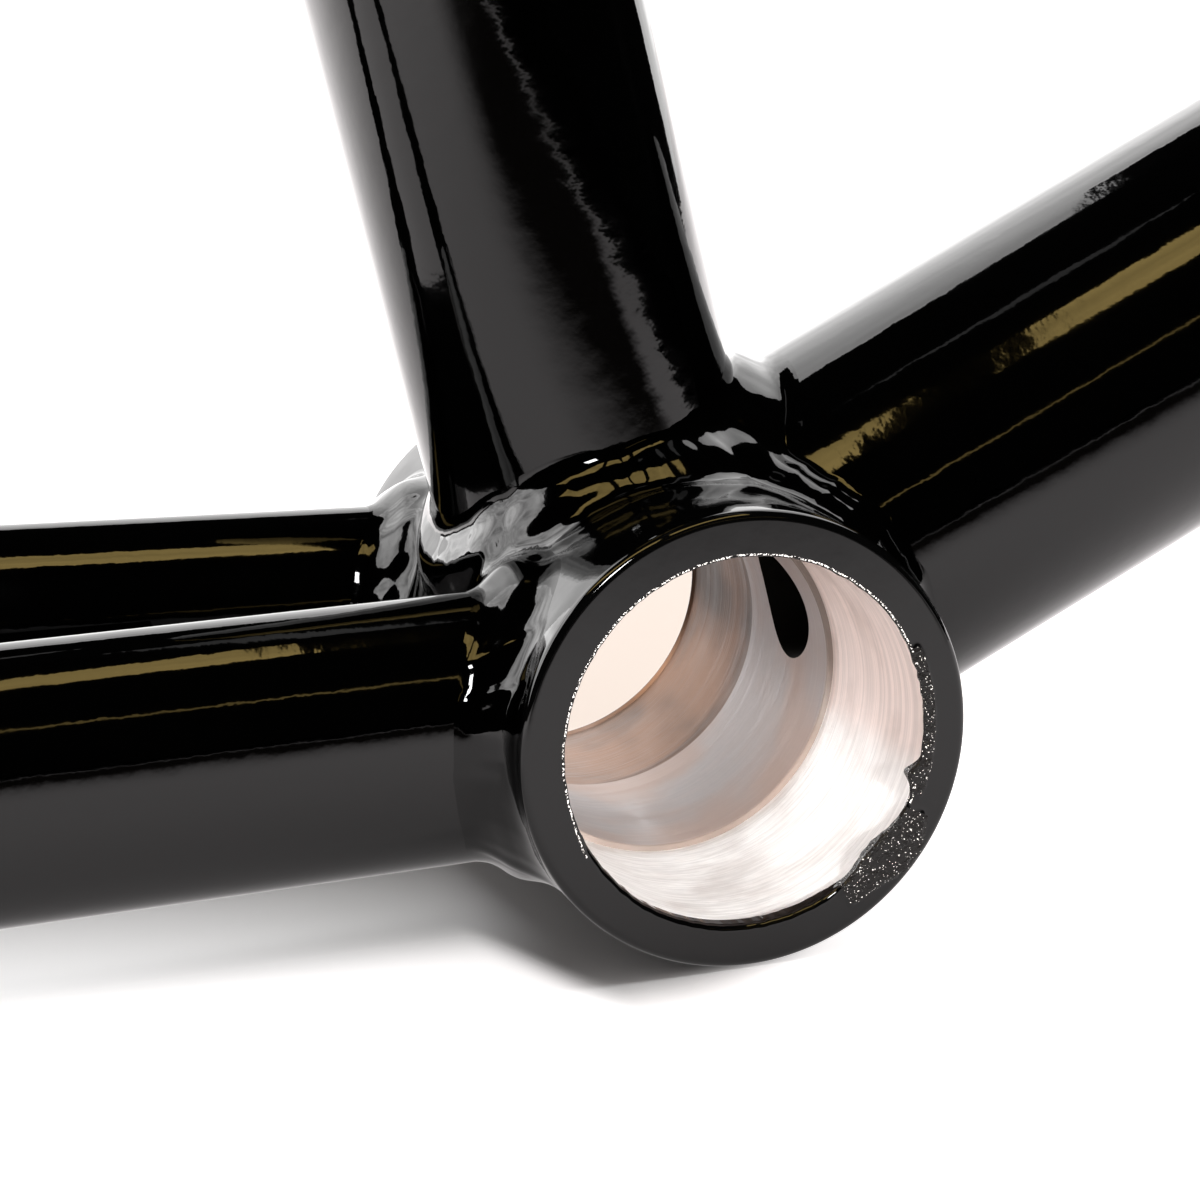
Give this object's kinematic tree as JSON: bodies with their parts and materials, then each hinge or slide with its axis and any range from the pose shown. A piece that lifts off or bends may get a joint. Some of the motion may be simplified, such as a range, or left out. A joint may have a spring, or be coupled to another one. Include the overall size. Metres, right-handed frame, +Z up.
{
  "type": "bottom bracket junction",
  "caption": "Welded bottom bracket junction of a bicycle frame: press-fit bearing shell with stubs of the seat tube, down tube and chainstays in gloss black.",
  "frame": {"origin": "the point on the floor under the middle of the shell, which rests on z = 0; the shell's axis is 22.5 mm above it", "axes": "+X forward along the bicycle, +Y to the bicycle's left side along the shell's axis, +Z up"},
  "size_m": [0.188, 0.0712, 0.112],
  "materials": {
    "shell_coat": "gloss black powder coat outside, bare machined steel in the bore",
    "tube_coat": "gloss black powder coat, bare steel inside and on the cut end",
    "weld_coat": "gloss black powder coat over rippled weld beads"
  },
  "bodies": {
    "root": {"bottom_bracket_shell": "shell_coat", "seat_tube": "tube_coat", "down_tube": "tube_coat", "right_chainstay": "tube_coat", "left_chainstay": "tube_coat", "seat_tube_weld": "weld_coat", "down_tube_weld": "weld_coat", "seat_to_down_tube_weld": "weld_coat", "right_chainstay_weld": "weld_coat", "left_chainstay_weld": "weld_coat"}
  },
  "joints": []
}
